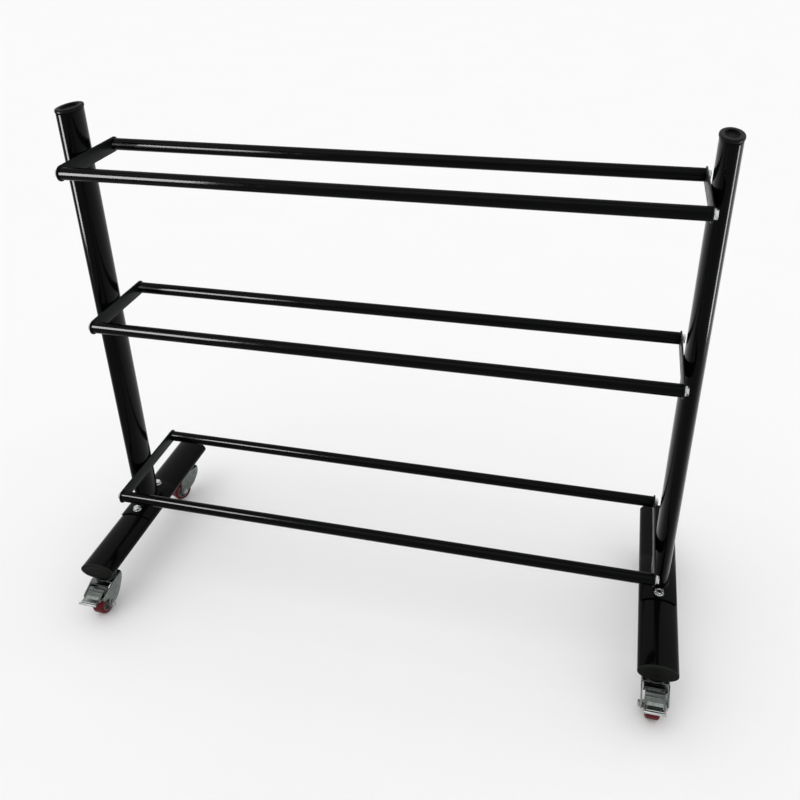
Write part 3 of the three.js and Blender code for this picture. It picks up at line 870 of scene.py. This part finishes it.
def axle_mesh(kind):
    """Axle bolt across the fork: hex head, lock nut with its collar, thread end."""
    inner = leg_outer(kind, WHEEL_RADIUS) + 0.7
    outer = inner + 4.4
    hexagon, pitch = 7.3, 0.7
    r = AXLE_RADIUS
    head = hex_head(hexagon, inner, outer, dish=0.3)
    nut = hex_head(hexagon, inner, outer - 0.9)
    collar = turned([(3.0, outer - 1.2), (5.7, outer - 1.2), (5.6, outer - 0.4), (4.9, outer),
                     (3.0, outer)], 40, closed=True)
    profile = [(0.5, -outer - 0.4), (r - 0.4, -outer - 0.4), (r, -outer), (r, inner - 2)]
    z = inner - 2
    while z < outer - 0.3:
        profile += [(r - 0.05, z), (r - 0.4, z + pitch / 2)]
        z += pitch
    profile += [(3.4, outer + 0.5), (0.5, outer + 0.5)]
    rod = turned(profile, 32)
    seat = (r + 0.2, 7.0, inner - 0.5, inner + 0.1)
    parts = [onto_x(shape, -1) for shape in (head, washer(*seat))]
    parts += [onto_x(shape) for shape in (nut, collar, rod, washer(*seat))]
    return smoothed(merged("axle_bolt", *parts), 28)


def tread_height(y):
    """Height of the tread's upper line at y."""
    for (ya, za), (yb, zb) in zip(TREAD_TOP, TREAD_TOP[1:]):
        if y <= yb:
            return za + (zb - za) * (y - ya) / (yb - ya)
    return TREAD_TOP[-1][1]


def pad_shape():
    """Raised trapezoid on the tread with a border round its sunk middle."""
    rows = 14

    def ring(inset, lift):
        front, rear = -26.6 + inset, -7.4 - inset
        wide, narrow = 18.2 - inset, 14.2 - inset
        left, right = [], []
        for i in range(rows + 1):
            t = i / rows
            y = front + (rear - front) * t
            x = wide + (narrow - wide) * t
            left.append((-x, y, tread_height(y) + lift))
            right.append((x, y, tread_height(y) + lift))
        return left + right[::-1]

    shape = Shape()
    shape.skin([ring(0.0, -0.3), ring(0.2, 0.65), ring(0.5, 0.85), ring(1.2, 0.85),
                ring(1.6, 0.35)], ends=False)
    # the underside and the sunk middle, row by row, so that both follow the tread
    last = 2 * rows + 1
    for start in (0, len(shape.points) - 1 - last):
        for i in range(rows):
            shape.faces.append((start + i, start + i + 1, start + last - i - 1,
                                start + last - i))
    return shape


def rod_across(radius, end, ease, steps=32, y=0.0, z=0.0):
    """A rod along X with eased ends, at y, z."""
    profile = [(0.4, -end), (radius - ease, -end), (radius - 0.3 * ease, -end + 0.3 * ease),
               (radius, -end + ease), (radius, end - ease),
               (radius - 0.3 * ease, end - 0.3 * ease), (radius - ease, end), (0.4, end)]
    return onto_x(turned(profile, steps), y=y, z=z)


def pedal_mesh():
    """Brake pedal about its pivot: ribbed tread, cheeks, shoe and pin."""
    top = [(15.0, 16.5), (10.4, 15.1), (9.6, 15.9), (8.2, 15.4), (7.6, 14.2), (3.4, 12.9),
           (2.6, 13.7), (1.2, 13.2), (0.6, 12.1), (-2.4, 11.2), (-14.0, 7.5), (-29.0, 8.0),
           (-31.0, 8.2)]
    under = [(-31.0, 6.4), (-28.6, 6.0), (-14.0, 5.4), (15.6, 14.5)]
    outline = fillet(top + under, 0.7, 3)
    tread = rounded(slab_x(outline, 2 * PEDAL_HALF_WIDTH).mesh("tread"), 0.45, 2, 40)
    cheek = fillet([(15.0, 15.5), (-14.0, 6.8), (-20.0, 6.6), (-14.0, 1.0), (-4.9, -0.9),
                    (-2.5, -4.3), (5.2, -11.1), (9.7, -11.1), (11.0, 3.0)], 1.6, 4)
    cheeks = [rounded(slab_x(cheek, 2.0, s * (PEDAL_HALF_WIDTH - 1.0)).mesh("cheek"), 0.4, 2, 40)
              for s in (-1, 1)]
    shoe = fillet([(5.2, -8.6), (5.7, -12.1), (8.1, -12.1), (11.1, -7.6)], 0.6, 3)
    shoe = rounded(slab_x(shoe, 2 * PEDAL_HALF_WIDTH - 2).mesh("shoe"), 0.3, 2, 40)
    end = leg_outer(BRAKED, PEDAL_PIVOT[1]) + 0.5
    pin = rod_across(2.5, end, 0.6, 28).mesh("pin")
    bm = bmesh.new()
    for part in (tread, *cheeks, shoe, pin):
        bm.from_mesh(part)
    whole = bpy.data.meshes.new("pedal")
    bm.to_mesh(whole)
    bm.free()
    return smoothed(whole, 36)


def pedal_trim_mesh():
    """The parts of the pedal drawn in brighter zinc, partly rubbed bright by shoes and partly a
    painted highlight: the tread's pad and the rolled lip.
    """
    lip = rod_across(2.6, 21.4, 1.2, y=-31.5, z=7.8)
    return smoothed(merged("trim", pad_shape(), lip), 36)


def build_brake(corner, joints, turning, at, turn, meshes):
    """What only a braked caster has: the strip behind its pedal, and the pedal."""
    tongue, pedal, trim = meshes
    pivot = Vector(joints[f"{corner}_brake_press"]["pos_m"])
    # the strip's dark zinc is painted shade between the foot and the pedal
    piece(tongue, f"{corner}_caster_fork", turning, "zinc", at, turn, suffix="tongue",
          finish=STEM_SHADE_FINISH)
    node, pressed = f"{corner}_brake_pedal", f"{corner}_brake"
    piece(pedal, node, pressed, "zinc", pivot, turn, finish=PEDAL_FINISH)
    # the pad and lip's brighter zinc is partly wear, partly painted highlight
    piece(trim, node, pressed, "zinc", pivot, turn, suffix="trim", finish=TRIM_WEAR_AND_HIGHLIGHT_FINISH)


def build_casters():
    """Every caster stands at its swivel's joint and heads where its wheel's axis says."""
    tyre = tyre_mesh()
    brake = (tongue_mesh(), pedal_mesh(), pedal_trim_mesh())
    joints = {joint["name"]: joint for joint in frame["joints"]}
    for end, kind in (("front", BRAKED), ("rear", PLAIN)):
        stem, fork = stem_mesh(kind), fork_mesh(kind)
        hub, axle = hub_mesh(kind), axle_mesh(kind)
        for side in SIDES:
            corner = f"{end}_{side}"
            turning, rolling = f"{corner}_swivel", f"{corner}_rolling"
            swivel = joints[f"{corner}_swivel_turn"]["pos_m"]
            spin = joints[f"{corner}_wheel_spin"]
            at, centre = (swivel[0], swivel[1], 0), Vector(spin["pos_m"])
            turn = (0, 0, math.atan2(spin["axis"][1], spin["axis"][0]))
            # the stem's dark zinc is painted shade under the foot
            piece(stem, f"{corner}_caster_stem", BODY, "zinc", at, turn, finish=STEM_SHADE_FINISH)
            piece(fork, f"{corner}_caster_fork", turning, "zinc", at, turn)
            piece(tyre, f"{corner}_wheel", rolling, "tyre", centre, turn, suffix="tyre")
            piece(hub, f"{corner}_wheel", rolling, "tyre", centre, turn, suffix="hub",
                  finish=HUB_FINISH)
            piece(axle, f"{corner}_axle_bolt", turning, "bright_steel", centre, turn,
                  finish=AXLE_FINISH)
            if kind["brake"]:
                build_brake(corner, joints, turning, at, turn, brake)


build_frame()
build_shelves()
build_casters()


# ---- floor, light and camera --------------------------------------------------------

def build_floor():
    """Large pale sheet, with a faint mottling."""
    reach, rows = 60000, 24
    shape = Shape()
    edges = []
    for i in range(rows + 1):
        y = reach * (2 * i / rows - 1)
        edges.append(shape.loop([(-reach, y, 0), (reach, y, 0)]))
    for a, b in zip(edges, edges[1:]):
        shape.faces.append((a[0], a[1], b[1], b[0]))
    mesh = shape.mesh("floor")
    floor = bpy.data.objects.new("floor", mesh)
    bpy.context.scene.collection.objects.link(floor)
    made, tree, inputs = material("floor_paper", specular=0.1)
    inputs["Roughness"].default_value = 0.9
    colour = mottle(tree, coordinates(tree), (0.905, 0.905, 0.904), (0.912, 0.912, 0.911),
                    2.5, 3.0)
    tree.links.new(colour, inputs["Base Color"])
    mesh.materials.append(made)


def build_world():
    """White studio, brighter overhead than round its walls."""
    world = bpy.data.worlds.new("studio")
    bpy.context.scene.world = world
    world.use_nodes = True
    tree = world.node_tree
    inputs = tree.nodes["Background"].inputs
    inputs["Color"].default_value = (1.0, 1.0, 1.0, 1)
    split = tree.nodes.new("ShaderNodeSeparateXYZ")
    where = tree.nodes.new("ShaderNodeTexCoord")
    tree.links.new(where.outputs["Generated"], split.inputs["Vector"])
    strength = spread(tree, split.outputs["Z"], 0.66, 1.0, (0.0, 0.7))
    tree.links.new(strength, inputs["Strength"])


def build_sun():
    """Broad overhead light that casts the soft shadows."""
    data = bpy.data.lights.new("sun", "SUN")
    data.energy = 0.42
    data.angle = math.radians(40)
    sun = bpy.data.objects.new("sun", data)
    bpy.context.scene.collection.objects.link(sun)
    sun.rotation_euler = (math.radians(24), math.radians(-16), 0)


def panel(name, nodes, at, facing, size, radiance):
    """A reflector panel standing at a point and facing a direction. It only shows as a
    highlight, on the pieces that stand for the named nodes."""
    data = bpy.data.lights.new(name, "AREA")
    data.shape = "RECTANGLE"
    data.size, data.size_y = size
    data.energy = radiance * math.pi * size[0] * size[1]
    data.use_shadow = False
    light = bpy.data.objects.new(name, data)
    bpy.context.scene.collection.objects.link(light)
    light.location = at
    light.rotation_euler = Vector(facing).to_track_quat("-Z", "Y").to_euler()
    light.visible_diffuse = False
    lit = bpy.data.collections.new(f"{name}_lit")
    for node in nodes:
        lit.objects.link(bpy.data.objects[f"{node}_look"])
    light.light_linking.receiver_collection = lit


def build_panels():
    """Reflectors for the long highlights on the uprights and the rails."""
    panel("upright_panel", ["left_upright", "left_upright_cap"], at=(-0.84, -0.76, 0.86),
          facing=(0.26, 0.97, 0), size=(0.5, 0.62), radiance=120)
    panel("rail_panel", [f"{tier}_{end}_rail" for tier in TIERS for end in ENDS],
          at=(-0.92, -0.72, 1.12), facing=(0.5, 0.85, -0.2), size=(0.55, 0.46), radiance=110)
    panel("side_panel", ["right_upright", "right_upright_cap"], at=(1.75, 0.35, 0.5),
          facing=(-0.95, -0.32, 0), size=(0.26, 0.7), radiance=26)


def build_camera():
    """Looks down on the rack from the front, a little to the right of its middle."""
    azimuth, down, roll = -0.27408, 0.51053, 0.03198
    forward = Vector((math.sin(azimuth) * math.cos(down), math.cos(azimuth) * math.cos(down),
                      -math.sin(down)))
    right = Vector((math.cos(azimuth), -math.sin(azimuth), 0))
    below = forward.cross(right)
    across = right * math.cos(roll) + below * math.sin(roll)
    under = -right * math.sin(roll) + below * math.cos(roll)
    data = bpy.data.cameras.new("camera")
    data.sensor_width = 36.0
    data.lens = 39.65
    data.shift_x = 0.02005
    data.shift_y = -0.06574
    data.clip_end = 50.0
    camera = bpy.data.objects.new("camera", data)
    bpy.context.scene.collection.objects.link(camera)
    turn = Matrix((across, -under, -forward)).transposed()
    camera.matrix_world = Matrix.Translation((0.44104, -1.49906, 1.52931)) @ turn.to_4x4()
    bpy.context.scene.camera = camera


build_floor()
build_world()
build_sun()
build_panels()
build_camera()
bpy.context.scene.view_settings.view_transform = "Standard"
